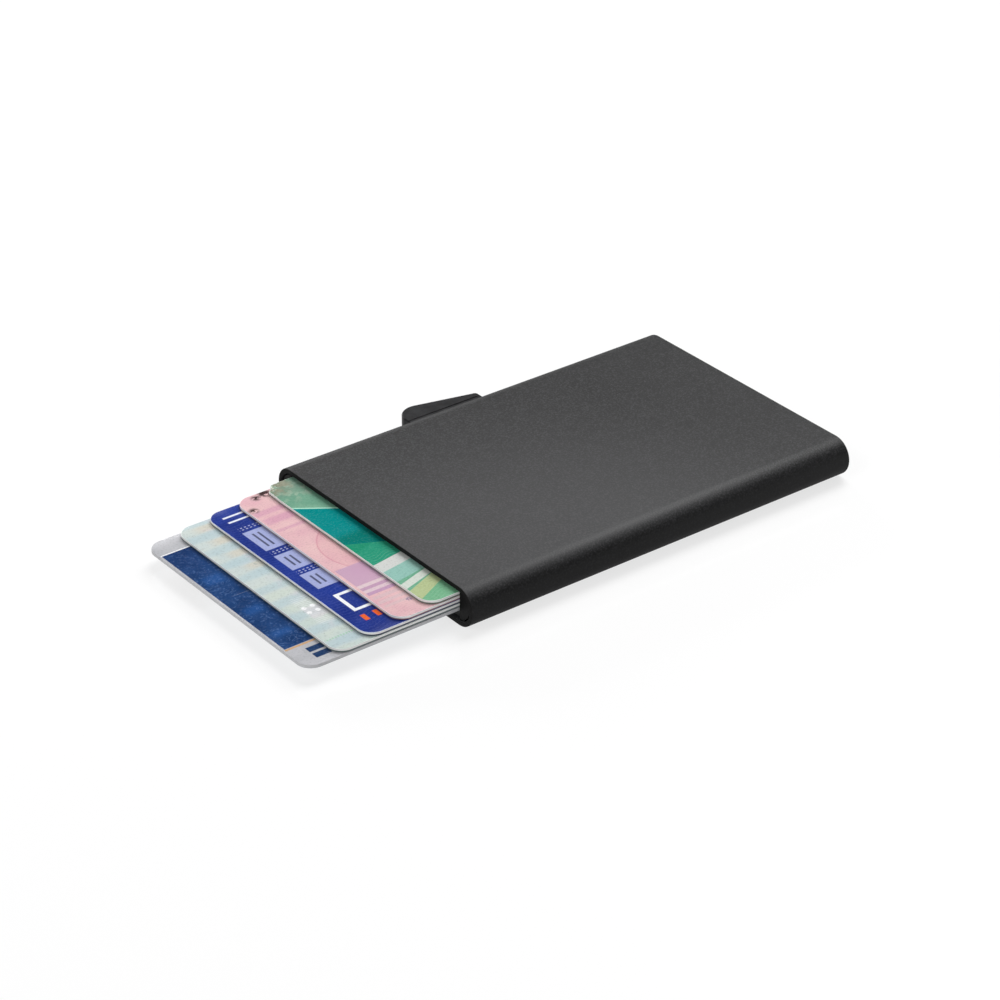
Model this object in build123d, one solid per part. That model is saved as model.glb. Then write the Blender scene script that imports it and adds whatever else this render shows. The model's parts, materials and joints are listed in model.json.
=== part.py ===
from build123d import *
import os

# Card wallet: a flat aluminium tube that holds five cards, with a slider on one side that fans them out.
# Millimetres. +X points from the mouth to the closed end, +Y to the slider's side, +Z up.
# The origin is the centre of the case's bottom face. The cards are modelled fanned out, with the slider at the
# mouth end.

# ---------------------------------------------------------------- driving dimensions
CASE_LENGTH = 94.0
CASE_WIDTH = 63.0
CASE_HEIGHT = 8.3
WALL = 1.0
EDGE_CHAMFER = 0.2            # broken edge round each end of the tube

CARD_LENGTH = 85.60           # ISO/IEC 7810 ID-1
CARD_WIDTH = 53.98
CARD_THICKNESS = 0.76
CARD_CORNER = 3.18
CARD_COUNT = 5
CARD_STEP = 6.74              # stagger from one card to the next when fanned
CARD_PITCH = 0.84             # height from one card to the next
LOWEST_CARD_Z = 2.8

BLADE_THICKNESS = 0.5
BLADE_STRIP_WIDTH = 0.6
BLADE_FOOT_DEPTH = 5.8
BLADE_FOOT_END_Y = -22.0
BLADE_TO_CARD = 0.15          # play between a blade's foot and its card
TAB_LENGTH = 1.5
TAB_WIDTH = 1.3
TAB_REAR_SHUT_X = 14.5        # where every blade's tab ends when the wallet is shut

RUNNING_GAP = 0.2             # between moving pieces and the tube
STEP_PLAY = 0.05              # between a step of the carriage and its blade's tab
CARRIAGE_PLAY = 0.15          # between the blades' strips and the carriage's flat face
RAIL_GAP = 0.35               # between a side rail and the tube's round side
RAIL_FACE_INSET = 0.05        # of a rail's flat face from the centre of the round side
RAIL_FOOT_WIDTH = 1.4
RAIL_MOUTH_INSET = 0.3
SLIDE_SLOT_HEIGHT = 1.8
SLOT_END_PLAY = 0.3
NECK_LENGTH = 8.0
NECK_HEIGHT = 1.5
NECK_CENTRE_X = -5.0
NECK_TIP_Y = 33.2
NECK_ROOT = 1.0               # how far inside the carriage the neck starts

BUTTON_HEIGHT = 4.7
BUTTON_FRONT_X = -14.95
BUTTON_REAR_X = 3.4
BUTTON_NOSE_Y = 33.4          # where the straight front turns into the round nose
BUTTON_CREST_X = -10.0        # where the thumb ramp starts
BUTTON_CREST_Y = 36.85
BUTTON_REAR_Y = 33.75
BUTTON_REAR_RADIUS = 0.9
BUTTON_EDGE = 0.3
BUTTON_GAP = 0.25             # between the button and the case's side
POCKET_PLAY = 0.02
GROOVE_Y = 31.9               # shadow line between the button's skirt and its head
GROOVE_WIDTH = 0.25
GROOVE_DEPTH = 0.25

FLOOR_THICKNESS = 0.5         # spring tray
SPRING_THICKNESS = 0.2
SPRING_WIDTH = 6.0
SPRING_Y = 14.0
SPRING_FRONT_X = -36.0
SPRING_LENGTH = 30.0
SPRING_FOOT = 4.0             # flat riveted end
SPRING_TO_CARD = 0.1          # between a spring's crown and the lowest card
RIVET_RADIUS = 0.8
RIVET_HEAD_RADIUS = 1.4
RIVET_HEAD_HEIGHT = 0.3

PAD_FRONT_GAP = 1.0           # from the mouth to the felt
PAD_LENGTH = 4.5
PAD_TO_TRAY = 0.5
PAD_WIDTH = 53.0
LOWER_PAD_HEIGHT = 1.6
UPPER_PAD_HEIGHT = 0.25

CAP_RECESS = 0.2
CAP_PLATE = 1.2
CAP_LIP_LENGTH = 0.7
CAP_LIP_WALL = 0.8

CUT_MARGIN = 1.0              # how far a cutting solid reaches past what it cuts

# ---------------------------------------------------------------- places that follow from them
MOUTH_X = -CASE_LENGTH / 2
CLOSED_END_X = CASE_LENGTH / 2
MID_Z = CASE_HEIGHT / 2
SIDE_Y = CASE_WIDTH / 2 - MID_Z          # centre of each half-round side
INNER_RADIUS = MID_Z - WALL
INNER_FLOOR_Z = WALL
INNER_CEILING_Z = CASE_HEIGHT - WALL
SLIDER_TRAVEL = CARD_COUNT * CARD_STEP
CARD_REAR_SHUT_X = MOUTH_X + CARD_LENGTH
RAIL_FACE_Y = SIDE_Y - RAIL_FACE_INSET
BLADE_INNER_Y = SIDE_Y
BLADE_OUTER_Y = BLADE_INNER_Y + BLADE_STRIP_WIDTH
CARRIAGE_FACE_Y = BLADE_OUTER_Y + CARRIAGE_PLAY
CARRIAGE_NOSE = 2.0                      # carriage in front of blade 1's tab
CARRIAGE_REAR_SHUT_X = 44.4
TRAY_TOP_Z = INNER_FLOOR_Z + FLOOR_THICKNESS


def card_level_z(number):
    """Height of the underside of a card; card 1 is the lowest."""
    return LOWEST_CARD_Z + (number - 1) * CARD_PITCH


def card_projection(number):
    """How far a fanned card stands out of the mouth; card 1 is the furthest out."""
    return (CARD_COUNT + 1 - number) * CARD_STEP


def block(x, y, z):
    """A box from its low and high limits along each axis."""
    size = (x[1] - x[0], y[1] - y[0], z[1] - z[0])
    return Pos(x[0], y[0], z[0]) * Box(*size, align=(Align.MIN, Align.MIN, Align.MIN))


def flat_tube(x, width, height):
    """A solid with half-round sides that runs along X."""
    section = Plane.YZ * Pos(0, MID_Z) * SlotOverall(width, height)
    return Pos(x[0], 0, 0) * extrude(section, x[1] - x[0])


def side_bead(x, radius, face_y):
    """The part of a rod in the slider's side channel that lies outside a vertical face."""
    rod = Plane.YZ * Pos(SIDE_Y, MID_Z) * Circle(radius)
    rod = Pos(x[0], 0, 0) * extrude(rod, x[1] - x[0])
    return rod & block(x, (face_y, CASE_WIDTH), (0, CASE_HEIGHT))


def side_slot(centre_x, length, height, y):
    """A slot-shaped solid that passes through the slider's side wall."""
    section = Plane.XZ * Pos(centre_x, MID_Z) * SlotOverall(length, height)
    return Pos(0, y[1], 0) * extrude(section, y[1] - y[0])


def cavity():
    """The clear space inside the tube."""
    return flat_tube((MOUTH_X, CLOSED_END_X), CASE_WIDTH - 2 * WALL, CASE_HEIGHT - 2 * WALL)


# ---------------------------------------------------------------- the case
def case_shell():
    outer = flat_tube((MOUTH_X, CLOSED_END_X), CASE_WIDTH, CASE_HEIGHT)
    end_edges = outer.edges().filter_by_position(Axis.X, MOUTH_X, MOUTH_X)
    end_edges += outer.edges().filter_by_position(Axis.X, CLOSED_END_X, CLOSED_END_X)
    outer = chamfer(end_edges, EDGE_CHAMFER)
    slot_centre = NECK_CENTRE_X + SLIDER_TRAVEL / 2
    slot_length = NECK_LENGTH + SLIDER_TRAVEL + 2 * SLOT_END_PLAY
    slot_y = (SIDE_Y + CUT_MARGIN, CASE_WIDTH / 2 + CUT_MARGIN)
    slot = side_slot(slot_centre, slot_length, SLIDE_SLOT_HEIGHT, slot_y)
    return outer - cavity() - slot


def end_cap():
    outer_x = CLOSED_END_X - CAP_RECESS
    plate_x = outer_x - CAP_PLATE
    width = CASE_WIDTH - 2 * WALL
    height = CASE_HEIGHT - 2 * WALL
    body = flat_tube((plate_x - CAP_LIP_LENGTH, outer_x), width, height)
    hollow_x = (plate_x - CAP_LIP_LENGTH, plate_x)
    return body - flat_tube(hollow_x, width - 2 * CAP_LIP_WALL, height - 2 * CAP_LIP_WALL)


def side_rail(x):
    """A rounded rail with a foot that stands on the tube's floor, on the slider's side."""
    bead = side_bead(x, INNER_RADIUS - RAIL_GAP, RAIL_FACE_Y)
    foot = block(x, (RAIL_FACE_Y, RAIL_FACE_Y + RAIL_FOOT_WIDTH), (INNER_FLOOR_Z, MID_Z)) & cavity()
    return bead + foot


def slide_side_rail():
    carriage_nose_x = TAB_REAR_SHUT_X - SLIDER_TRAVEL - TAB_LENGTH - CARRIAGE_NOSE
    return side_rail((MOUTH_X + RAIL_MOUTH_INSET, carriage_nose_x - 2 * RUNNING_GAP))


def plain_side_rail():
    rail_end = CLOSED_END_X - CAP_RECESS - CAP_PLATE - CAP_LIP_LENGTH
    return mirror(side_rail((MOUTH_X + RAIL_MOUTH_INSET, rail_end)), Plane.XZ)


def spring_tray():
    front = MOUTH_X + PAD_FRONT_GAP + PAD_LENGTH + PAD_TO_TRAY
    rear = CLOSED_END_X - CAP_RECESS - CAP_PLATE - CAP_LIP_LENGTH
    half = PAD_WIDTH / 2
    tray = block((front, rear), (-half, half), (INNER_FLOOR_Z, TRAY_TOP_Z))
    for side in (-1, 1):
        tray -= rivet_hole(side)
    return tray


def rivet_hole(side):
    hole = Cylinder(RIVET_RADIUS, 2 * CUT_MARGIN)
    return Pos(SPRING_FRONT_X + SPRING_FOOT / 2, side * SPRING_Y, TRAY_TOP_Z) * hole


def leaf_spring(side):
    """A bowed strip: a flat riveted foot, then an arch whose crown lies just under the lowest card."""
    foot_end = SPRING_FRONT_X + SPRING_FOOT
    tip = SPRING_FRONT_X + SPRING_LENGTH
    crown_x = (foot_end + tip) / 2
    crown_top = LOWEST_CARD_Z - SPRING_TO_CARD
    low = TRAY_TOP_Z
    high = TRAY_TOP_Z + SPRING_THICKNESS
    outline = Polyline((foot_end, low), (SPRING_FRONT_X, low), (SPRING_FRONT_X, high), (foot_end, high))
    outline += ThreePointArc((foot_end, high), (crown_x, crown_top), (tip, high))
    outline += Line((tip, high), (tip, low))
    outline += ThreePointArc((tip, low), (crown_x, crown_top - SPRING_THICKNESS), (foot_end, low))
    strip = extrude(Plane.XZ * make_face(outline), SPRING_WIDTH / 2, both=True)
    return Pos(0, side * SPRING_Y, 0) * strip - rivet_hole(side)


def spring_rivets():
    rivets = []
    for side in (-1, 1):
        place = Pos(SPRING_FRONT_X + SPRING_FOOT / 2, side * SPRING_Y, 0)
        shank_height = FLOOR_THICKNESS + SPRING_THICKNESS
        base = (Align.CENTER, Align.CENTER, Align.MIN)
        shank = Pos(0, 0, INNER_FLOOR_Z) * Cylinder(RIVET_RADIUS, shank_height, align=base)
        head = Cylinder(RIVET_HEAD_RADIUS, RIVET_HEAD_HEIGHT, align=base)
        head = Pos(0, 0, INNER_FLOOR_Z + shank_height) * head
        rivets.append(place * (shank + head))
    return Compound(children=rivets)


def mouth_pad(z):
    front = MOUTH_X + PAD_FRONT_GAP
    return block((front, front + PAD_LENGTH), (-PAD_WIDTH / 2, PAD_WIDTH / 2), z)


# ---------------------------------------------------------------- the slider
def button_outline():
    """Seen from above: a round nose at the mouth end, then a ramp that falls towards the closed end."""
    nose = (BUTTON_FRONT_X, BUTTON_NOSE_Y)
    crest = (BUTTON_CREST_X, BUTTON_CREST_Y)
    ramp_end = (BUTTON_REAR_X - BUTTON_REAR_RADIUS, BUTTON_REAR_Y)
    rear = (BUTTON_REAR_X, BUTTON_REAR_Y - BUTTON_REAR_RADIUS)
    against_ramp = (crest[0] - ramp_end[0], crest[1] - ramp_end[1])
    outline = TangentArc(crest, nose, tangent=against_ramp)
    outline += Polyline(nose, (BUTTON_FRONT_X, SIDE_Y), (BUTTON_REAR_X, SIDE_Y), rear)
    outline += RadiusArc(rear, ramp_end, -BUTTON_REAR_RADIUS)
    outline += Line(ramp_end, crest)
    return make_face(outline)


def slide_button():
    """The thumb-piece outside the case, hollowed to the case's round side, with a pocket for the neck."""
    top_z = MID_Z + BUTTON_HEIGHT / 2
    low_z = MID_Z - BUTTON_HEIGHT / 2
    body = Pos(0, 0, low_z) * extrude(button_outline(), BUTTON_HEIGHT)
    rims = body.edges().group_by(Axis.Z)
    outer_rims = [e for e in rims[0] + rims[-1] if e.center().Y > SIDE_Y + CUT_MARGIN]
    body = fillet(outer_rims, BUTTON_EDGE)
    case_side = Plane.YZ * Pos(SIDE_Y, MID_Z) * Circle(MID_Z + BUTTON_GAP)
    body -= Pos(MOUTH_X, 0, 0) * extrude(case_side, CASE_LENGTH)
    groove_x = (BUTTON_FRONT_X - CUT_MARGIN, BUTTON_REAR_X + CUT_MARGIN)
    for z in (top_z, low_z):
        body -= block(groove_x, (GROOVE_Y, GROOVE_Y + GROOVE_WIDTH), (z - GROOVE_DEPTH, z + GROOVE_DEPTH))
    pocket_y = (SIDE_Y + CUT_MARGIN, NECK_TIP_Y + POCKET_PLAY)
    pocket_play = 2 * POCKET_PLAY
    return body - side_slot(NECK_CENTRE_X, NECK_LENGTH + pocket_play, NECK_HEIGHT + pocket_play, pocket_y)


def step_face_x(number):
    """Front of the carriage's step for a blade. Fanned out, every step has just met its blade's tab."""
    tab_rear = TAB_REAR_SHUT_X - card_projection(number)
    return tab_rear + STEP_PLAY


def step_top_z(number):
    """Height where the carriage's step for one blade gives way to the next."""
    if number == CARD_COUNT:
        return CASE_HEIGHT
    return card_level_z(number + 1) - (CARD_PITCH - CARD_THICKNESS) / 2


def carriage():
    """A staircase in the side channel, with the neck that reaches out through the slot."""
    rear = CARRIAGE_REAR_SHUT_X - SLIDER_TRAVEL
    radius = INNER_RADIUS - RUNNING_GAP
    nose = step_face_x(1) - TAB_LENGTH - CARRIAGE_NOSE
    body = side_bead((nose, rear), radius, CARRIAGE_FACE_Y)
    for number in range(2, CARD_COUNT + 1):
        above = (step_top_z(number - 1), CASE_HEIGHT)
        body -= block((nose - CUT_MARGIN, step_face_x(number)), (SIDE_Y, CASE_WIDTH), above)
    tab_seat_x = (step_face_x(1) - TAB_LENGTH - 2 * STEP_PLAY, step_face_x(1))
    tab_seat_y = (SIDE_Y, BLADE_INNER_Y + TAB_WIDTH + STEP_PLAY)
    body -= block(tab_seat_x, tab_seat_y, blade_z(1, STEP_PLAY))
    neck_y = (CARRIAGE_FACE_Y + NECK_ROOT, NECK_TIP_Y)
    return body + side_slot(NECK_CENTRE_X, NECK_LENGTH, NECK_HEIGHT, neck_y)


def blade_z(number, play=0.0):
    """Low and high faces of a blade, level with the middle of its card."""
    middle = card_level_z(number) + CARD_THICKNESS / 2
    return (middle - BLADE_THICKNESS / 2 - play, middle + BLADE_THICKNESS / 2 + play)


def ejector_blade(number):
    """A flat L: a foot behind the card and a strip beside it, with a tab that the carriage's step pushes."""
    z = blade_z(number)
    out = card_projection(number)
    tab_rear = TAB_REAR_SHUT_X - out
    foot_front = CARD_REAR_SHUT_X + BLADE_TO_CARD - out
    foot_rear = foot_front + BLADE_FOOT_DEPTH
    foot = block((foot_front, foot_rear), (BLADE_FOOT_END_Y, BLADE_OUTER_Y), z)
    strip = block((tab_rear - TAB_LENGTH, foot_rear), (BLADE_INNER_Y, BLADE_OUTER_Y), z)
    tab = block((tab_rear - TAB_LENGTH, tab_rear), (BLADE_INNER_Y, BLADE_INNER_Y + TAB_WIDTH), z)
    return foot + strip + tab


# ---------------------------------------------------------------- the cards
def card(number):
    centre_x = MOUTH_X + CARD_LENGTH / 2 - card_projection(number)
    outline = RectangleRounded(CARD_LENGTH, CARD_WIDTH, CARD_CORNER)
    return Pos(centre_x, 0, card_level_z(number)) * extrude(outline, CARD_THICKNESS)


def build():
    pieces = {
        "case_shell": case_shell(),
        "end_cap": end_cap(),
        "plain_side_rail": plain_side_rail(),
        "slide_side_rail": slide_side_rail(),
        "spring_tray": spring_tray(),
        "leaf_spring_left": leaf_spring(-1),
        "leaf_spring_right": leaf_spring(1),
        "spring_rivets": spring_rivets(),
        "mouth_pad_lower": mouth_pad((INNER_FLOOR_Z, INNER_FLOOR_Z + LOWER_PAD_HEIGHT)),
        "mouth_pad_upper": mouth_pad((INNER_CEILING_Z - UPPER_PAD_HEIGHT, INNER_CEILING_Z)),
        "slide_button": slide_button(),
        "carriage": carriage(),
    }
    for number in range(1, CARD_COUNT + 1):
        pieces[f"ejector_blade_{number}"] = ejector_blade(number)
        pieces[f"card_{number}"] = card(number)
    return pieces


os.makedirs("parts", exist_ok=True)
for name, piece in build().items():
    export_step(piece, f"parts/{name}.step")
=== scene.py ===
import json
import math

import bmesh
import bpy
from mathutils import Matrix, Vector, noise

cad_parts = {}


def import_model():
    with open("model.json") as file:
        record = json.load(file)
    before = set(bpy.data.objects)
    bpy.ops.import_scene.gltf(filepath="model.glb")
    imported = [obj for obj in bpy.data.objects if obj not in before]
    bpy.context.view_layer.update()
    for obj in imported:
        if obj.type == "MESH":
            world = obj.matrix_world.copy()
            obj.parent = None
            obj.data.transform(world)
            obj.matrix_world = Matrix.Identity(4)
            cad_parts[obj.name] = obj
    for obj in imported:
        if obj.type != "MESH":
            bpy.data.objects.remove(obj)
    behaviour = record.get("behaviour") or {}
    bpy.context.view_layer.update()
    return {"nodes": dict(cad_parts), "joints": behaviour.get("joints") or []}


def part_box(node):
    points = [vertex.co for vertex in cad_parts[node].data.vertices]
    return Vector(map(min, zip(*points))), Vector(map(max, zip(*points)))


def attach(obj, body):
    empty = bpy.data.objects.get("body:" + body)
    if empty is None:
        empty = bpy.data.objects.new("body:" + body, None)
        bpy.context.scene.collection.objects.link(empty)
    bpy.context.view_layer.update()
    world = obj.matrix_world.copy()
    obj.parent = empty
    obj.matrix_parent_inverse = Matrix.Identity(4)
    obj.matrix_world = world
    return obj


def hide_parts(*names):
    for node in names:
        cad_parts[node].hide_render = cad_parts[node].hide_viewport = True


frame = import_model()

# A card wallet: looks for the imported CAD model. Metres, in the model's own frame.
# +X runs from the mouth to the closed end, +Y points to the slider's side and +Z up.

MM = 0.001
MASK_SOFTNESS = 0.06             # mm, from a mask's edge to where it is fully 0 or 1
CARD_NUMBERS = range(1, 6)
TOP_CARD = 5
CARD_CORNER = 3.18 * MM
CARD_FACE_ROUND = 0.07 * MM
CARD_BACK_ROUND = 0.15 * MM
CARD_SHINE = 0.2
CARD_ROUGHNESS = 0.14
CHIP_CARDS = (1, 4)
CHIP_FROM_REAR = 15.0 * MM
CHIP_ASIDE = 3.0 * MM
NIBBLE_REACH = 6.0 * MM          # the damage at the top card's corner
NIBBLE_DEPTH = 0.7 * MM
CASE_SHINE = 0.25
CASE_ROUGHNESS = (0.84, 0.98)
CASE_POLISH = 0.38               # what full gloss takes off that roughness
PLASTIC_SHINE = 0.1
# Middle and fade distances of a pool of painted light on the case's top near the mouth.
LIGHT_POOL_PLACE = (-30.0, -35.0)   # mm, on the case's plan
LIGHT_POOL_REACH = (20.0, 75.0)
NECK_FRONT = -9.0 * MM           # the neck between the button and the carriage, fanned out
NECK_REAR = -1.0 * MM
SLOT_HALF_HEIGHT = 0.9 * MM
SLOT_PLAY = 0.3 * MM
SMOOTH_ANGLE = 35                # degrees; a sharper edge than this stays sharp

HORIZON_BAND = (12, 26)          # degrees above the horizon between which the world dims
WORLD_LOW = 0.3
WORLD_HIGH = 0.08
FLOOR_GLOW = 0.73
FLOOR_TONES = ((0.24, 0.24, 0.24), (0.26, 0.26, 0.26))
FLOOR_HALF = 3.0
FLOOR_DROP = 0.02 * MM
CAMERA_LENS = 116.15             # mm, on a 36 mm sensor
CAMERA_AIM = (-10.88 * MM, 7.05 * MM, -1.83 * MM)
CAMERA_ANGLES = (-37.64, 30.04)  # azimuth and elevation in degrees
CAMERA_DISTANCE = 638.9 * MM
SOFT_LIGHTS = (                  # name, azimuth, elevation, distance and size in metres, watts
    ("key_softbox", 108, 44, 1.2, (0.7, 0.5), 7.4),
    ("overhead_softbox", 125, 66, 1.2, (0.6, 0.5), 7.5),
    ("rear_strip", 172, 12, 1.3, (0.6, 0.25), 9),
    ("left_fill", 275, 40, 1.2, (0.6, 0.5), 4.5),
    ("front_fill", -40, 20, 1.3, (1.4, 0.5), 2),
)

# ---------------------------------------------------------------- places, from the frame
SHELL_LOW, SHELL_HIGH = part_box("case_shell")
MOUTH_X = SHELL_LOW.x
CLOSED_END_X = SHELL_HIGH.x
MID_Z = (SHELL_LOW.z + SHELL_HIGH.z) / 2
ROUND_RADIUS = MID_Z - SHELL_LOW.z
SIDE_Y = SHELL_HIGH.y - ROUND_RADIUS
WALL = SHELL_HIGH.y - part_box("end_cap")[1].y
SLIDER_TRAVEL = frame["joints"][0]["range_m"][1]


# ---------------------------------------------------------------- writing materials
class Paint:
    """A short way to write a material. Colours are linear RGB; lengths in masks are millimetres."""

    def __init__(self, name):
        self.material = bpy.data.materials.new(name)
        self.material.use_nodes = True
        self.tree = self.material.node_tree
        self.shader = self.tree.nodes["Principled BSDF"]
        coordinates = self.tree.nodes.new("ShaderNodeTexCoord")
        self.place = coordinates.outputs["Object"]
        self.facing = coordinates.outputs["Normal"]

    def node(self, kind, *values, **settings):
        made = self.tree.nodes.new(kind)
        for key, value in settings.items():
            setattr(made, key, value)
        for socket, value in zip(made.inputs, values):
            self.feed(socket, value)
        return made

    def feed(self, socket, value):
        if isinstance(value, bpy.types.NodeSocket):
            self.tree.links.new(value, socket)
        else:
            socket.default_value = value

    def set(self, **inputs):
        for name, value in inputs.items():
            self.feed(self.shader.inputs[name.replace("_", " ")], value)

    def math(self, operation, *values):
        return self.node("ShaderNodeMath", *values, operation=operation).outputs[0]

    def axes(self):
        """The three object coordinates, in millimetres."""
        scaled = self.node("ShaderNodeVectorMath", self.place, (1 / MM,) * 3, operation="MULTIPLY")
        return self.node("ShaderNodeSeparateXYZ", scaled.outputs[0]).outputs

    def ramp(self, value, low, high, to_low=0.0, to_high=1.0):
        limits = (low, high, to_low, to_high)
        made = self.node("ShaderNodeMapRange", value, *limits, interpolation_type="SMOOTHSTEP")
        return made.outputs[0]

    def noise(self, size, detail=2.0, stretch=(1, 1, 1), roughness=0.5):
        """Noise whose features are about size metres across."""
        place = self.place
        if stretch != (1, 1, 1):
            place = self.node("ShaderNodeVectorMath", place, stretch, operation="MULTIPLY").outputs[0]
        made = self.tree.nodes.new("ShaderNodeTexNoise")
        self.feed(made.inputs["Vector"], place)
        made.inputs["Scale"].default_value = 1 / size
        made.inputs["Detail"].default_value = detail
        made.inputs["Roughness"].default_value = roughness
        return made.outputs["Fac"]

    def mix(self, factor, first, second):
        made = self.tree.nodes.new("ShaderNodeMix")
        made.data_type = "RGBA"
        self.feed(made.inputs[0], factor)
        for socket, value in ((made.inputs[6], first), (made.inputs[7], second)):
            self.feed(socket, value if isinstance(value, bpy.types.NodeSocket) else (*value, 1))
        return made.outputs[2]

    def bump(self, height, depth, strength):
        made = self.tree.nodes.new("ShaderNodeBump")
        self.feed(made.inputs["Height"], height)
        made.inputs["Distance"].default_value = depth
        made.inputs["Strength"].default_value = strength
        self.feed(self.shader.inputs["Normal"], made.outputs[0])

    # masks are 1 inside and 0 outside
    def between(self, value, low, high, soft=MASK_SOFTNESS):
        rise = self.ramp(value, low - soft, low + soft)
        fall = self.ramp(value, high - soft, high + soft, 1.0, 0.0)
        return self.math("MULTIPLY", rise, fall)

    def both(self, *masks):
        result = masks[0]
        for mask in masks[1:]:
            result = self.math("MULTIPLY", result, mask)
        return result

    def slanted(self, value, across, slope):
        """value, sheared by slope for each unit of across."""
        return self.math("MULTIPLY_ADD", across, slope, value)

    def distance(self, first, second, centre):
        from_first = self.math("SUBTRACT", first, centre[0])
        from_second = self.math("SUBTRACT", second, centre[1])
        squares = self.math("MULTIPLY_ADD", from_second, from_second, self.math("POWER", from_first, 2.0))
        return self.math("SQRT", squares)


def srgb(text):
    """Linear RGB of a colour written as six hexadecimal digits."""
    channels = [int(text[i:i + 2], 16) / 255 for i in (0, 2, 4)]
    return tuple(c / 12.92 if c <= 0.04045 else ((c + 0.055) / 1.055) ** 2.4 for c in channels)


def about(middle, half):
    """The span that reaches half to each side of middle."""
    return middle - half, middle + half


# ---------------------------------------------------------------- plain materials
def anodised_aluminium():
    """Blasted and anodised black with a fine sparkle grain. Painted light makes the top paler than the
    sides and paler still near the mouth; painted shade darkens the end faces.
    """
    paint = Paint("anodised_aluminium")
    cloud = paint.noise(14 * MM, detail=3)
    grain = paint.noise(0.2 * MM, detail=2)
    speck = paint.noise(0.34 * MM, detail=3, roughness=0.65)
    x, y, _ = paint.axes()
    normal = paint.node("ShaderNodeSeparateXYZ", paint.facing).outputs
    facing_up = paint.math("ABSOLUTE", normal[2])
    facing_out = paint.math("ABSOLUTE", normal[0])
    # Painted light: a paler pool on upward faces near the mouth, fading out over the reach.
    painted_light_pool = paint.ramp(paint.distance(x, y, LIGHT_POOL_PLACE), *LIGHT_POOL_REACH, 1.0, 0.0)
    body = paint.mix(paint.ramp(cloud, 0.3, 0.7), srgb("0a0a0b"), srgb("101011"))
    body = paint.mix(paint.both(painted_light_pool, paint.ramp(facing_up, 0.5, 1.0)), body, srgb("343435"))
    # Real sparkle grain, made stronger on upward faces than on the sides as painted light on the top.
    grain_and_top_light = paint.both(paint.ramp(speck, 0.42, 0.68), paint.ramp(facing_up, 0.3, 1.0, 0.1, 0.36))
    body = paint.mix(grain_and_top_light, body, srgb("5a5a5c"))
    # Painted shade: faces at the mouth and the closed end are darkened to near black.
    shaded_end_faces = paint.ramp(facing_out, 0.5, 0.9)
    body = paint.mix(shaded_end_faces, body, srgb("070707"))
    gloss = paint.both(
        paint.ramp(normal[2], -0.3, 0.7, 0.2, 1.0),
        paint.ramp(normal[1], 0.05, 0.5, 1.0, 0.15),
        paint.ramp(shaded_end_faces, 0.0, 1.0, 1.0, 0.3),
    )
    roughness = paint.ramp(speck, 0.25, 0.75, *CASE_ROUGHNESS)
    roughness = paint.math("MULTIPLY_ADD", gloss, -CASE_POLISH, roughness)
    paint.set(Base_Color=body, Roughness=roughness)
    paint.shader.inputs["Specular IOR Level"].default_value = CASE_SHINE
    paint.bump(grain, 0.02 * MM, 0.5)
    return paint.material


def moulded_plastic(name, colour, roughness, grain_size, mottle):
    """Finely textured plastic, darker in patches by the share mottle."""
    paint = Paint(name)
    grain = paint.noise(grain_size, detail=3)
    cloud = paint.noise(3 * MM, detail=3)
    darker = tuple((1 - mottle) * c for c in colour)
    body = paint.mix(paint.ramp(cloud, 0.3, 0.7), darker, colour)
    paint.set(Base_Color=body, Roughness=paint.ramp(grain, 0.2, 0.8, roughness - 0.06, roughness + 0.06))
    paint.shader.inputs["Specular IOR Level"].default_value = PLASTIC_SHINE
    paint.bump(grain, 0.01 * MM, 0.6)
    return paint.material


def stamped_steel(name, colour):
    """Rolled steel sheet with fine lines along X."""
    paint = Paint(name)
    lines = paint.noise(0.12 * MM, detail=2, stretch=(0.06, 1, 1))
    cloud = paint.noise(5 * MM, detail=2)
    darker = tuple(0.6 * c for c in colour)
    body = paint.mix(paint.ramp(cloud, 0.3, 0.75), darker, colour)
    paint.set(Base_Color=body, Roughness=paint.ramp(lines, 0.2, 0.8, 0.28, 0.48), Metallic=1.0)
    paint.bump(lines, 0.008 * MM, 0.5)
    return paint.material


def gold_plate():
    """Thin gold with lines along Y, rubbed paler in patches."""
    paint = Paint("gold_plate")
    rubbed = paint.ramp(paint.noise(0.5 * MM, detail=3), 0.4, 0.7)
    lines = paint.noise(0.08 * MM, stretch=(1, 0.05, 1))
    body = paint.mix(rubbed, srgb("d9b46a"), srgb("e6c98c"))
    paint.set(Base_Color=body, Roughness=paint.ramp(lines, 0.3, 0.7, 0.2, 0.38), Metallic=1.0)
    paint.bump(lines, 0.004 * MM, 0.4)
    return paint.material


def black_felt():
    """Short dark fibres with a soft sheen."""
    paint = Paint("black_felt")
    fibres = paint.noise(0.1 * MM, detail=4, stretch=(1, 0.4, 1))
    paint.set(Base_Color=paint.mix(fibres, srgb("0c0c0c"), srgb("2c2c2c")), Roughness=0.95)
    paint.shader.inputs["Sheen Weight"].default_value = 0.3
    paint.bump(fibres, 0.06 * MM, 0.9)
    return paint.material


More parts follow.
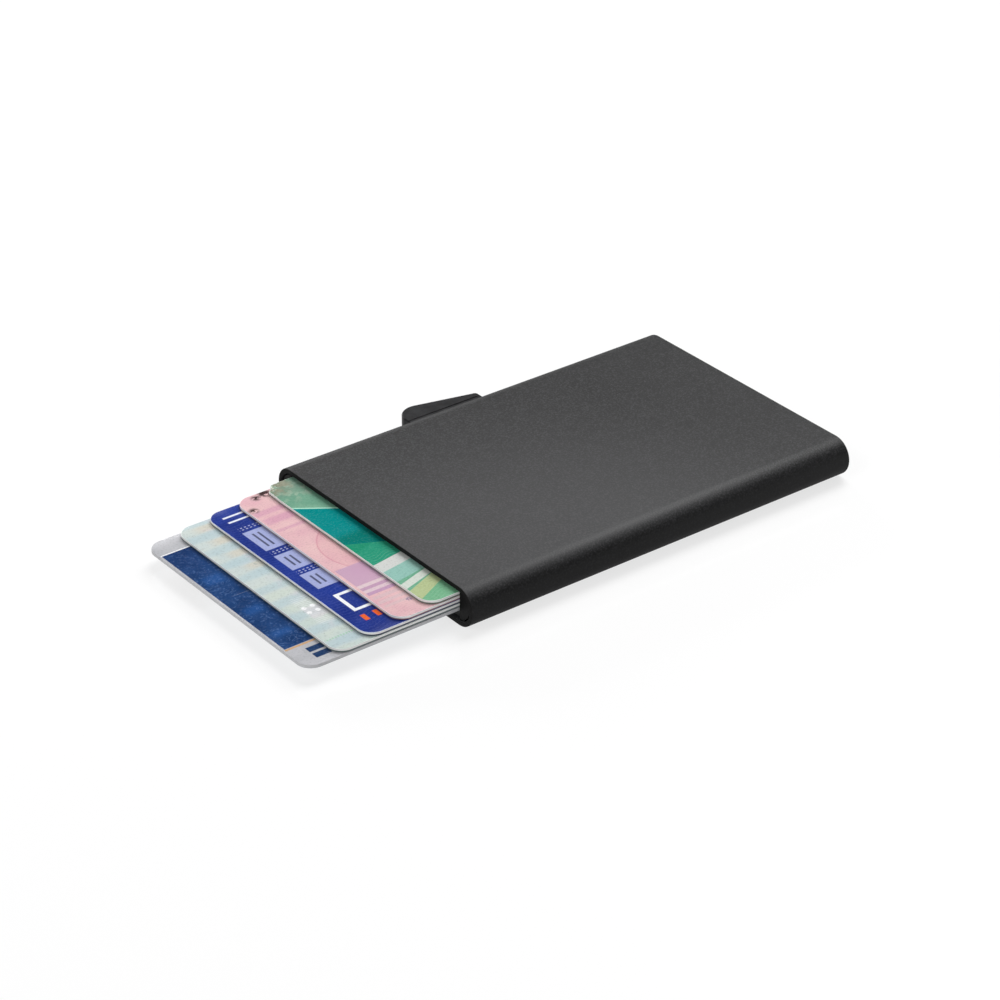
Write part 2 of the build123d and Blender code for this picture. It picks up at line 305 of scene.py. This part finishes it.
# ---------------------------------------------------------------- card prints
class CardPrint(Paint):
    """Ink on a card's face, laid down in layers. across is the distance from the card's middle
    towards the slider's side, and depth is the distance from the edge that leads out of the
    mouth, both in millimetres."""

    def __init__(self, number, base, second_base):
        super().__init__(f"card_{number}_print")
        x, y, _ = self.axes()
        self.across = y
        self.depth = self.math("SUBTRACT", x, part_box(f"card_{number}")[0].x / MM)
        self.colour = self.mix(self.ramp(self.noise(7 * MM), 0.35, 0.65), srgb(base), srgb(second_base))

    def lay(self, colour, mask, strength=1.0):
        if strength < 1.0:
            mask = self.math("MULTIPLY", mask, strength)
        self.colour = self.mix(mask, self.colour, srgb(colour) if isinstance(colour, str) else colour)

    def panel(self, across, depth, soft=MASK_SOFTNESS):
        """A rectangle from (low, high) across and (low, high) deep."""
        return self.both(self.between(self.across, *across, soft), self.between(self.depth, *depth, soft))

    def leaning(self, low, high, slope, soft=MASK_SOFTNESS):
        """A band across the card whose edges lean by slope for each millimetre of depth."""
        return self.between(self.slanted(self.across, self.depth, slope), low, high, soft)

    def ring(self, centre, radius, width, soft):
        away = self.distance(self.across, self.depth, centre)
        return self.between(away, *about(radius, width / 2), soft)

    def disc(self, centre, radius, soft=MASK_SOFTNESS):
        away = self.distance(self.across, self.depth, centre)
        return self.ramp(away, radius - soft, radius + soft, 1.0, 0.0)

    def waves(self, period, sway, sway_period, width):
        """Fine wavy lines that run into the card, one for each period across it."""
        turn = self.math("MULTIPLY", self.depth, 2 * math.pi / sway_period)
        swayed = self.math("MULTIPLY_ADD", self.math("SINE", turn), sway, self.across)
        near = self.math("PINGPONG", swayed, period / 2)
        return self.ramp(near, width * 0.4, width, 1.0, 0.0)

    def dots(self, period, size):
        """A grid of fine dots."""
        rows = self.ramp(self.math("PINGPONG", self.across, period / 2), size * 0.5, size, 1.0, 0.0)
        columns = self.ramp(self.math("PINGPONG", self.depth, period / 2), size * 0.5, size, 1.0, 0.0)
        return self.both(rows, columns)

    def contours(self, size, levels, width):
        """Fine closed curves, as on a map of hills about size across."""
        height = self.math("MULTIPLY", self.noise(size, detail=1), levels)
        return self.ramp(self.math("PINGPONG", height, 0.5), width * 0.5, width, 1.0, 0.0)

    def finished(self):
        """The laminate over the ink: faint orange peel, duller in places, with a few scratches."""
        wear = self.noise(5 * MM, detail=4)
        rubbed = self.ramp(wear, 0.35, 0.75, CARD_ROUGHNESS, CARD_ROUGHNESS + 0.12)
        fibre = self.noise(0.38 * MM, detail=3)
        self.lay("ffffff", self.ramp(fibre, 0.5, 0.7), 0.02)
        self.lay("000000", self.ramp(fibre, 0.5, 0.3), 0.14)
        hairlines = self.ramp(self.noise(0.5 * MM, detail=1, stretch=(0.03, 1, 1)), 0.74, 0.78)
        self.lay("f0f0f0", hairlines, 0.08)
        self.set(Base_Color=self.colour, Roughness=rubbed)
        self.shader.inputs["Specular IOR Level"].default_value = CARD_SHINE
        self.bump(self.noise(0.6 * MM, detail=2), 0.01 * MM, 0.5)
        return self.material


def card_1_print():
    """Grey card with a clouded navy field."""
    ink = CardPrint(1, "b2b3b7", "bfbfc3")
    navy = ink.mix(ink.ramp(ink.noise(5 * MM), 0.3, 0.7), srgb("1a3866"), srgb("21457a"))
    field = ink.panel((-19.3, 21.7), (0.45, 54.0))
    ink.lay(navy, field)
    for across, width in ((8.8, 1.6), (-4.5, 1.3), (-14.0, 1.0)):
        glow = ink.panel(about(across, width), (1.5, 5.5), 0.9)
        ink.lay("2c62ac", ink.both(field, glow), 0.35)
    ink.lay("5f7fb4", ink.both(field, ink.contours(1.2 * MM, 3.0, 0.12)), 0.28)
    ink.lay("152c5e", ink.both(field, ink.ramp(ink.across, 8.0, 20.0)), 0.35)
    ink.lay("f2f3f6", ink.panel((21.7, 22.0), (0.3, 54.2)))
    ink.lay("c8a079", ink.panel((-19.95, -19.45), (0.3, 54.0)))
    for across in (-22.0, -24.2):
        ink.lay("1f3a63", ink.panel(about(across, 0.8), (3.6, 7.0)))
    ink.lay("9fa2a8", ink.panel((-26.0, -23.5), (30.0, 76.0)), 0.35)
    return ink.finished()


def card_2_print():
    """Pale card with soft blue and cream stripes."""
    ink = CardPrint(2, "bfcccd", "c8d1cd")
    stripes = ink.math("SINE", ink.math("MULTIPLY_ADD", ink.across, 2 * math.pi / 5.7, 2.95))
    ink.lay("a9c2ca", ink.ramp(stripes, -0.4, 0.9), 0.5)
    troughs = ink.ramp(stripes, 0.2, -0.8)
    cream = ink.both(troughs, ink.ramp(ink.depth, 1.5, 5.0), ink.ramp(ink.across, 3.0, 8.0))
    ink.lay("d3c8b4", cream, 0.6)
    ink.lay("cbd8bd", ink.both(troughs, ink.ramp(ink.across, 2.0, -3.0)), 0.2)
    blotches = ink.ramp(ink.noise(2.6 * MM, detail=3), 0.5, 0.72)
    ink.lay("d6c9d2", ink.both(blotches, ink.ramp(ink.depth, 3.0, 6.0)), 0.35)
    patch = ink.panel((-17.5, -7.0), (3.0, 11.0), 0.5)
    ink.lay("dfe2e4", ink.both(patch, ink.waves(0.55, 0.1, 5.0, 0.16)), 0.6)
    ink.lay("d3cfd3", ink.panel((-15.0, -11.0), (3.2, 10.5), 0.3), 0.6)
    for depth in (3.7, 5.6, 7.5):
        for across in (-12.8, -11.0):
            ink.lay("f4f5f6", ink.disc((across, depth), 0.5, 0.15), 0.9)
    dotted = ink.ramp(ink.math("PINGPONG", ink.depth, 0.3), 0.1, 0.2)
    ink.lay("8fc7a0", ink.both(ink.panel((-22.75, -22.35), (0.4, 60.0), 0.1), dotted), 0.8)
    specks = ink.ramp(ink.noise(0.8 * MM, detail=1), 0.74, 0.78)
    ink.lay("9aa6a2", specks, 0.6)
    return ink.finished()


def card_3_print():
    """Blue card with lilac boxes, white rules and a white square outline."""
    ink = CardPrint(3, "1e3180", "243a90")
    ink.lay("6f80c8", ink.waves(0.9, 0.5, 9.0, 0.08), 0.12)
    for low, high in ((9.0, 17.2), (0.2, 6.5), (-8.2, -2.0)):
        box = ink.panel((low, high), (2.2, 44.0))
        ink.lay("a2aad4", box)
        ink.lay("9199ca", ink.both(box, ink.waves(0.45, 0.2, 3.0, 0.1)), 0.4)
        for depth in (3.5, 4.7):
            rule = ink.panel((low + 1.3, high - 1.3), (depth, depth + 0.45), 0.1)
            ink.lay("2a2d4a", rule, 0.85)
    dashes = ink.ramp(ink.math("PINGPONG", ink.depth, 0.45), 0.2, 0.26)
    for across in (18.6, 7.7, -1.0):
        for offset in (-0.35, 0.35):
            line = ink.panel(about(across + offset, 0.14), (2.4, 20.0))
            ink.lay("d5daf0", ink.both(line, dashes), 0.6)
    for across in (22.0, 24.0):
        ink.lay("e3e6f2", ink.panel(about(across, 0.28), (2.3, 9.5), 0.08))
    ink.lay("eef0f4", ink.panel((-18.6, -11.6), (3.0, 10.0)))
    ink.lay("233787", ink.panel((-17.8, -12.4), (3.8, 9.2)))
    for depth in (2.9, 5.6):
        ink.lay("e8632c", ink.panel((-22.4, -20.3), (depth, depth + 1.0), 0.1))
    return ink.finished()


def card_4_print():
    """Pink card with a mauve patch and a few dark smudges."""
    ink = CardPrint(4, "daadb5", "e2bdbd")
    for across, width in ((16.6, 1.2), (20.0, 0.9), (12.6, 0.5)):
        ink.lay("cd96af", ink.panel(about(across, width), (0.4, 80.0), 0.4), 0.6)
    ink.lay("c9809c", ink.waves(0.62, 0.35, 5.5, 0.11), 0.16)
    circle = ((-0.8, 13.0), 10.5)
    ink.lay("d597a0", ink.disc(*circle), 0.25)
    ink.lay("c77b8c", ink.ring(*circle, 0.3, 0.12), 0.45)
    patch = ink.panel((-13.0, -6.0), (0.7, 30.0), 0.08)
    ink.lay("c4a0ba", patch, 0.8)
    ink.lay("9a76ac", ink.both(patch, ink.dots(0.45, 0.14)), 0.5)
    for low, high, colour in (
        (-14.0, -13.0, "d8c6cb"), (-15.0, -14.0, "b994b3"), (-16.0, -15.0, "d6c2ca"),
        (-17.0, -16.0, "b992b6"), (-18.8, -17.8, "d4b6bb"), (-20.6, -19.6, "d6b9bd"),
        (-22.2, -21.4, "d6b8bb"),
    ):
        ink.lay(colour, ink.panel((low, high), (0.7, 30.0), 0.08), 0.85)
    ragged = ink.ramp(ink.noise(0.8 * MM, detail=4), 0.34, 0.5)
    for centre, radius in (((21.7, 1.2), 0.9), ((25.6, 4.3), 0.9), ((26.2, 6.6), 1.3)):
        ink.lay("3c2828", ink.both(ink.disc(centre, radius, 0.6), ragged), 1.0)
    ink.lay("4c4a86", ink.both(ink.disc((-22.3, 5.9), 0.5, 0.3), ragged), 0.8)
    return ink.finished()


def card_5_print():
    """Green card with leaning bands, stained at the nibbled corner."""
    ink = CardPrint(5, "7da890", "6d9e86")
    ink.lay("71877a", ink.ramp(ink.across, 19.0, 24.0), 0.6)
    flakes = ink.ramp(ink.noise(1.6 * MM, detail=4), 0.48, 0.6)
    ink.lay("a3b3a0", ink.both(flakes, ink.ramp(ink.across, 17.0, 21.0)), 0.5)
    teal_slope = 0.72
    ink.lay("a9dcc4", ink.leaning(16.5, 17.1, teal_slope))
    ink.lay("008584", ink.leaning(-40.0, 16.6, teal_slope))
    shaded = ink.both(ink.leaning(-1.0, 9.0, teal_slope, 2.5), ink.ramp(ink.across, 4.0, 1.0))
    ink.lay("056f64", shaded, 0.8)
    green = ink.leaning(-60.0, -0.4, 0.5)
    ink.lay("2a9375", green)
    ink.lay("158a68", ink.both(ink.leaning(-4.5, -0.6, -0.35, 0.5), green), 0.7)
    for low, high, slope, colour in (
        (-60.0, -9.8, 0.0, "8ebbb0"), (-13.0, -9.9, -0.16, "cbcdca"),
        (-60.0, -17.3, -0.18, "6ea98c"), (-20.4, -18.5, -0.3, "cbd3ca"),
        (-60.0, -21.3, -0.4, "b0bd8d"), (-60.0, -25.0, -0.5, "73af88"),
    ):
        ink.lay(colour, ink.leaning(low, high, slope))
    threads = ink.both(ink.waves(0.8, 0.6, 7.0, 0.08), ink.ramp(ink.across, -4.0, -9.0))
    ink.lay("d6e6dc", threads, 0.1)
    blots = ink.ramp(ink.noise(1.1 * MM, detail=4), 0.38, 0.6)
    ink.lay("8c8672", ink.both(ink.disc((26.0, 2.0), 3.4, 1.2), blots), 0.8)
    scuffs = ink.ramp(ink.noise(0.5 * MM), 0.5, 0.62)
    ink.lay("d9d6c6", ink.both(ink.disc((26.6, 0.9), 2.0, 0.8), scuffs), 0.8)
    return ink.finished()


def card_edge(number, skin, core, paler_core, lower_skin_and_shade):
    """The cut edge: a thin printed skin, the core, and the thicker lower band, mostly darker: the lower
    skin with painted shade where the card rests on the one below.
    """
    paint = Paint(f"card_{number}_edge")
    height = paint.math("SUBTRACT", paint.axes()[2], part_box(f"card_{number}")[0].z / MM)
    mottled = paint.mix(paint.noise(0.8 * MM, detail=3), srgb(core), srgb(paler_core))
    # Painted shade: the lower band of the edge is darkened where it meets the card below.
    lower = paint.mix(paint.ramp(height, 0.26, 0.34), srgb(lower_skin_and_shade), mottled)
    whole = paint.mix(paint.ramp(height, 0.66, 0.70), lower, srgb(skin))
    paint.set(Base_Color=whole, Roughness=0.5)
    paint.bump(paint.noise(0.15 * MM, stretch=(1, 1, 0.3)), 0.02 * MM, 0.5)
    return paint.material


def card_back(number):
    """Plain back: grey stock with a magnetic stripe and a signature panel."""
    paint = Paint(f"card_{number}_back")
    x, y, _ = paint.axes()
    depth = paint.math("SUBTRACT", x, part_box(f"card_{number}")[0].x / MM)
    stock = paint.mix(paint.noise(5 * MM), srgb("858b92"), srgb("8f959b"))
    stock = paint.mix(paint.between(y, 10.3, 23.0), stock, srgb("201e1f"))
    panel = paint.both(paint.between(y, -3.0, 6.5), paint.between(depth, 18.0, 78.0))
    weave = paint.ramp(paint.noise(0.3 * MM, stretch=(0.2, 1, 1)), 0.4, 0.6)
    stock = paint.mix(panel, stock, paint.mix(weave, srgb("e6e6e0"), srgb("d8dadb")))
    paint.set(Base_Color=stock, Roughness=0.45)
    paint.bump(paint.noise(0.9 * MM, detail=1), 0.01 * MM, 0.5)
    return paint.material


# ---------------------------------------------------------------- shapes
def new_object(name, mesh_builder, materials, smooth_angle=SMOOTH_ANGLE):
    mesh = bpy.data.meshes.new(name)
    made = bmesh.new()
    mesh_builder(made)
    bmesh.ops.recalc_face_normals(made, faces=made.faces)
    made.to_mesh(mesh)
    made.free()
    for face in mesh.polygons:
        face.use_smooth = True
    mesh.set_sharp_from_angle(angle=math.radians(smooth_angle))
    for material in materials:
        mesh.materials.append(material)
    thing = bpy.data.objects.new(name, mesh)
    bpy.context.scene.collection.objects.link(thing)
    return thing


def bridge(made, first, second, material_index=0):
    """Quads between two closed rings of vertices with the same count."""
    count = len(first)
    for i in range(count):
        j = (i + 1) % count
        face = made.faces.new((first[i], first[j], second[j], second[i]))
        face.material_index = material_index


def rounded_rectangle(half_length, half_width, radius, steps):
    """Points round the outline, anticlockwise from above, centred on the origin."""
    points = []
    for quarter, (sx, sy) in enumerate(((1, 1), (-1, 1), (-1, -1), (1, -1))):
        centre_x = sx * (half_length - radius)
        centre_y = sy * (half_width - radius)
        for step in range(steps + 1):
            angle = math.pi / 2 * (quarter + step / steps)
            points.append((centre_x + radius * math.cos(angle), centre_y + radius * math.sin(angle)))
    return points


def refined(points, spacing):
    """The same outline with points no further apart than spacing."""
    finer = []
    for (ax, ay), (bx, by) in zip(points, points[1:] + points[:1]):
        parts = max(1, math.ceil(math.hypot(bx - ax, by - ay) / spacing))
        finer += [(ax + (bx - ax) * i / parts, ay + (by - ay) * i / parts) for i in range(parts)]
    return finer


def frayed(points, corner):
    """The outline nibbled away near one corner."""
    nibbled = []
    for x, y in points:
        away = math.hypot(x - corner[0], y - corner[1])
        ragged = 0.5 + noise.noise(Vector((x, y, 0)) / (0.55 * MM))
        bite = NIBBLE_DEPTH * max(0.0, 1 - away / NIBBLE_REACH) * ragged
        length = math.hypot(x, y)
        nibbled.append((x * (1 - bite / length), y * (1 - bite / length)))
    return nibbled


def edge_profile(thickness, upper_round, lower_round, steps):
    """(inset, height) up a card's edge, from the rim of its back to the rim of its face."""
    profile = []
    for radius, base, turn in ((lower_round, 0.0, 1), (upper_round, thickness, -1)):
        quarter = []
        for step in range(steps + 1):
            angle = math.pi / 2 * step / steps
            quarter.append((radius * (1 - math.sin(angle)), base + turn * radius * (1 - math.cos(angle))))
        profile += quarter if turn > 0 else list(reversed(quarter))
    return profile


def card_piece(number, face_print, edge):
    """A card with softly rounded edges: printed face, cut edge and back."""
    low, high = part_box(f"card_{number}")
    centre = (low + high) / 2
    half_length = (high.x - low.x) / 2
    half_width = (high.y - low.y) / 2
    profile = edge_profile(high.z - low.z, CARD_FACE_ROUND, CARD_BACK_ROUND, steps=3)

    def build(made):
        rings = []
        for inset, height in profile:
            outline = rounded_rectangle(half_length - inset, half_width - inset, CARD_CORNER - inset, 12)
            if number == TOP_CARD:
                outline = frayed(refined(outline, 0.3 * MM), (-half_length, half_width))
            z = low.z + height
            rings.append([made.verts.new((centre.x + x, centre.y + y, z)) for x, y in outline])
        for lower, upper in zip(rings, rings[1:]):
            bridge(made, lower, upper, 1)
        made.faces.new(rings[-1]).material_index = 0
        made.faces.new(list(reversed(rings[0]))).material_index = 2

    thing = new_object(f"card_{number}_detailed", build, [face_print, edge, card_back(number)])
    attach(thing, f"card_{number}")
    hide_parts(f"card_{number}")


def contact_pads():
    """The pads of a chip's contact plate, in millimetres from its middle: low x, high x, low y
    and high y."""
    half_x, half_y = 5.9, 5.3
    middle_half, row = 2.1, 2.6
    gap = 0.12
    pads = [
        (-middle_half + gap, middle_half - gap, -row + gap, half_y),
        (-middle_half + gap, middle_half - gap, -half_y, -row - gap),
    ]
    for side in (-1, 1):
        for low, high in ((-half_y, -row), (-row, 0.0), (0.0, row), (row, half_y)):
            x = sorted((side * (middle_half + gap), side * half_x))
            pads.append((*x, low + (gap if low > -half_y else 0), high - (gap if high < half_y else 0)))
    return pads


def chip_contact(number, gold):
    """A chip's gold contact plate, let into the card's face near the edge that stays inside the case."""
    low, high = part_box(f"card_{number}")
    centre = Vector((high.x - CHIP_FROM_REAR, CHIP_ASIDE, high.z))
    proud = 0.018 * MM
    softness = 0.05 * MM

    def build(made):
        for x_low, x_high, y_low, y_high in contact_pads():
            half_x = (x_high - x_low) / 2 * MM
            half_y = (y_high - y_low) / 2 * MM
            middle = centre + Vector(((x_low + x_high) / 2, (y_low + y_high) / 2, 0)) * MM
            rings = []
            for inset, height in ((0.0, -0.2 * MM), (0.0, 0.3 * proud), (softness, proud)):
                outline = rounded_rectangle(half_x - inset, half_y - inset, radius=0.35 * MM, steps=5)
                rings.append([made.verts.new(middle + Vector((x, y, height))) for x, y in outline])
            for lower, upper in zip(rings, rings[1:]):
                bridge(made, lower, upper)
            made.faces.new(rings[-1])
            made.faces.new(list(reversed(rings[0])))

    thing = new_object(f"chip_contact_{number}", build, [gold])
    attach(thing, f"card_{number}")


def felt_strip(side, material):
    """A strip of dense felt glued in the mouth, with a fuzzy, slightly crowned surface."""
    low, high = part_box(f"mouth_pad_{side}")
    centre = (low + high) / 2
    half = (high - low) / 2
    facing = 1 if side == "lower" else -1
    rounding = min(0.35 * MM, half.z)
    along, over = 140, 16

    def build(made):
        rings = []
        for i in range(along + 1):
            y = centre.y + half.y * (2 * i / along - 1)
            ring = []
            for j in range(over + 1):
                across = 2 * j / over - 1
                x = centre.x + half.x * across
                slope = max(0.0, (abs(across) - 1) * half.x / rounding + 1)
                fall = rounding * (1 - math.sqrt(1 - slope * slope))
                fuzz = 0.05 * MM * (noise.noise(Vector((x, y, 0)) / (0.3 * MM)) - 1)
                z = centre.z + facing * (half.z - fall + max(fuzz, -half.z))
                ring.append(made.verts.new((x, y, z)))
            for end in (1, -1):
                ring.append(made.verts.new((centre.x + end * half.x, y, centre.z - facing * half.z)))
            rings.append(ring)
        for here, there in zip(rings, rings[1:]):
            bridge(made, here, there)
        made.faces.new(rings[0])
        made.faces.new(rings[-1])

    thing = new_object(f"felt_strip_{side}", build, [material], smooth_angle=50)
    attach(thing, "case")
    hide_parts(f"mouth_pad_{side}")


def stadium_path(flat_steps, arc_steps):
    """Points round the tube's outside with their outward directions: (y, z, normal y, normal z)."""
    path = []
    for side in (1, -1):
        for step in range(arc_steps + 1):
            angle = side * math.pi / 2 - math.pi * step / arc_steps
            ny, nz = math.cos(angle), math.sin(angle)
            path.append((side * SIDE_Y + ROUND_RADIUS * ny, MID_Z + ROUND_RADIUS * nz, ny, nz))
        start, end = path[-1], (-side * SIDE_Y, path[-1][1])
        for step in range(1, flat_steps):
            y = start[0] + (end[0] - start[0]) * step / flat_steps
            path.append((y, start[1], 0.0, start[3]))
    return path


def wall_loop(outer_round, inner_round, steps):
    """The wall cut lengthwise: (x, depth below the outside) round its rounded section."""
    corners = (
        (CLOSED_END_X, -1, 0.0, 1, outer_round), (CLOSED_END_X, -1, WALL, -1, inner_round),
        (MOUTH_X, 1, WALL, -1, inner_round), (MOUTH_X, 1, 0.0, 1, outer_round),
    )
    loop = []
    for index, (end, inwards, depth, into_wall, radius) in enumerate(corners):
        turn = []
        for step in range(steps + 1):
            angle = math.pi / 2 * step / steps
            turn.append((
                end + inwards * radius * (1 - math.sin(angle)),
                depth + into_wall * radius * (1 - math.cos(angle)),
            ))
        loop += turn if index % 2 == 0 else list(reversed(turn))
    return loop


def case_tube(material):
    """The extruded case with rounded end edges, and the slider's slot cut through its side."""
    path = stadium_path(flat_steps=10, arc_steps=40)
    loop = wall_loop(outer_round=0.2 * MM, inner_round=0.12 * MM, steps=4)

    def build(made):
        rings = []
        for y, z, ny, nz in path:
            rings.append([made.verts.new((x, y - ny * depth, z - nz * depth)) for x, depth in loop])
        for here, there in zip(rings, rings[1:] + rings[:1]):
            bridge(made, here, there)

    tube = new_object("case_tube", build, [material])
    cut_slot(tube)
    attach(tube, "case")
    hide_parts("case_shell")


def cut_slot(tube):
    """Cuts the slot that the slider's neck runs in, with a cutter that starts inside the channel
    and ends past the wall, and softens the slot's edges."""
    front = NECK_FRONT - SLOT_PLAY + SLOT_HALF_HEIGHT
    rear = NECK_REAR + SLIDER_TRAVEL + SLOT_PLAY - SLOT_HALF_HEIGHT
    past = 1 * MM
    steps = 12
    outline = []
    for centre, start in ((rear, -math.pi / 2), (front, math.pi / 2)):
        for step in range(steps + 1):
            angle = start + math.pi * step / steps
            outline.append((
                centre + SLOT_HALF_HEIGHT * math.cos(angle),
                MID_Z + SLOT_HALF_HEIGHT * math.sin(angle),
            ))

    def build(made):
        inner = [made.verts.new((x, SIDE_Y + past, z)) for x, z in outline]
        outer = [made.verts.new((x, SHELL_HIGH.y + past, z)) for x, z in outline]
        bridge(made, inner, outer)
        made.faces.new(inner)
        made.faces.new(outer)

    cutter = new_object("slot_cutter", build, [])
    cut = tube.modifiers.new("slot", "BOOLEAN")
    cut.object = cutter
    cut.solver = "EXACT"
    soften = tube.modifiers.new("soft_slot_edge", "BEVEL")
    soften.width = 0.12 * MM
    soften.segments = 2
    soften.limit_method = "ANGLE"
    soften.angle_limit = math.radians(50)
    apply_modifiers(tube)
    bpy.data.objects.remove(cutter)


def apply_modifiers(thing):
    evaluated = thing.evaluated_get(bpy.context.evaluated_depsgraph_get())
    mesh = bpy.data.meshes.new_from_object(evaluated)
    thing.modifiers.clear()
    thing.data = mesh
    mesh.set_sharp_from_angle(angle=math.radians(SMOOTH_ANGLE))


# ---------------------------------------------------------------- assembling
def finish_material(node, material):
    node.data.materials.clear()
    node.data.materials.append(material)


def dress_cad_nodes():
    """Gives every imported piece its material; the replaced ones are hidden later."""
    black = moulded_plastic(
        "black_moulding", srgb("0a0a0a"), roughness=0.55, grain_size=0.22 * MM, mottle=0.25,
    )
    button = moulded_plastic(
        "button_plastic", srgb("28282a"), roughness=0.5, grain_size=0.14 * MM, mottle=0.6,
    )
    steel = stamped_steel("stamped_steel", srgb("b9bbbd"))
    rivet = stamped_steel("rivet_steel", srgb("cfcdc6"))
    for name, node in frame["nodes"].items():
        if name == "slide_button":
            finish_material(node, button)
        elif name == "spring_rivets":
            finish_material(node, rivet)
        elif name.startswith(("ejector_blade", "leaf_spring")):
            finish_material(node, steel)
        else:
            finish_material(node, black)


def add_cards():
    faces = (card_1_print(), card_2_print(), card_3_print(), card_4_print(), card_5_print())
    edge_inks = (                # skin, core, paler core, lower skin with painted shade
        ("bcbdc1", "acacae", "bebec1", "aeb0b3"),
        ("dfe8e3", "dcdcdb", "f1f1f0", "5d6e6c"),
        ("c9cfe6", "dcdcdb", "f1f1f0", "1c2548"),
        ("efdde1", "dcdcdb", "f1f1f0", "8c6a70"),
        ("dfece2", "dcdcdb", "f1f1f0", "5f7467"),
    )
    for number, face_print, inks in zip(CARD_NUMBERS, faces, edge_inks):
        card_piece(number, face_print, card_edge(number, *inks))
    gold = gold_plate()
    for number in CHIP_CARDS:
        chip_contact(number, gold)


# ---------------------------------------------------------------- the stage
def add_aimed(thing, place, target):
    """Puts a light or camera into the scene, turned towards target."""
    thing.location = place
    thing.rotation_mode = "QUATERNION"
    thing.rotation_quaternion = (Vector(target) - Vector(place)).to_track_quat("-Z", "Y")
    bpy.context.scene.collection.objects.link(thing)


def direction(azimuth, elevation):
    """Unit vector from the object towards a viewer. Azimuth 0 stands at -Y and turns towards +X."""
    a = math.radians(azimuth)
    e = math.radians(elevation)
    return Vector((math.sin(a) * math.cos(e), -math.cos(a) * math.cos(e), math.sin(e)))


def soft_light(name, azimuth, elevation, distance, size, watts):
    lamp = bpy.data.lights.new(name, "AREA")
    lamp.shape = "RECTANGLE"
    lamp.size, lamp.size_y = size
    lamp.energy = watts
    add_aimed(bpy.data.objects.new(name, lamp), direction(azimuth, elevation) * distance, (0, 0, 0))


def floor():
    """A light table of milky acrylic. Most of its light comes from below, so shadows stay faint."""
    mesh = bpy.data.meshes.new("floor")
    corners = [(x * FLOOR_HALF, y * FLOOR_HALF, 0) for x, y in ((-1, -1), (1, -1), (1, 1), (-1, 1))]
    mesh.from_pydata(corners, [], [(0, 1, 2, 3)])
    thing = bpy.data.objects.new("floor", mesh)
    bpy.context.scene.collection.objects.link(thing)
    paint = Paint("milky_acrylic")
    tone = paint.noise(0.2, detail=1)
    paint.set(Base_Color=paint.mix(tone, *FLOOR_TONES), Roughness=0.12)
    paint.shader.inputs["Emission Color"].default_value = (1, 1, 1, 1)
    paint.shader.inputs["Emission Strength"].default_value = FLOOR_GLOW
    thing.data.materials.append(paint.material)
    thing.location.z = -FLOOR_DROP


def world():
    """A pale studio: bright near the horizon and dim overhead, so that gloss falls off upwards."""
    made = bpy.data.worlds.new("studio")
    made.use_nodes = True
    nodes, links = made.node_tree.nodes, made.node_tree.links
    way = nodes.new("ShaderNodeTexCoord")
    split = nodes.new("ShaderNodeSeparateXYZ")
    links.new(way.outputs["Generated"], split.inputs[0])
    height = nodes.new("ShaderNodeMapRange")
    height.interpolation_type = "SMOOTHSTEP"
    height.inputs["From Min"].default_value = math.sin(math.radians(HORIZON_BAND[0]))
    height.inputs["From Max"].default_value = math.sin(math.radians(HORIZON_BAND[1]))
    height.inputs["To Min"].default_value = WORLD_LOW
    height.inputs["To Max"].default_value = WORLD_HIGH
    links.new(split.outputs["Z"], height.inputs["Value"])
    background = nodes["Background"]
    background.inputs["Color"].default_value = (1, 1, 1, 1)
    links.new(height.outputs[0], background.inputs["Strength"])
    bpy.context.scene.world = made


def camera():
    lens = bpy.data.cameras.new("camera")
    lens.lens = CAMERA_LENS
    lens.sensor_width = 36.0
    lens.clip_end = 10.0
    aim = Vector(CAMERA_AIM)
    thing = bpy.data.objects.new("camera", lens)
    add_aimed(thing, aim + direction(*CAMERA_ANGLES) * CAMERA_DISTANCE, aim)
    bpy.context.scene.camera = thing


dress_cad_nodes()
case_tube(anodised_aluminium())
add_cards()
felt = black_felt()
for side in ("lower", "upper"):
    felt_strip(side, felt)
floor()
world()
for light in SOFT_LIGHTS:
    soft_light(*light)
camera()
bpy.context.scene.view_settings.view_transform = "Standard"
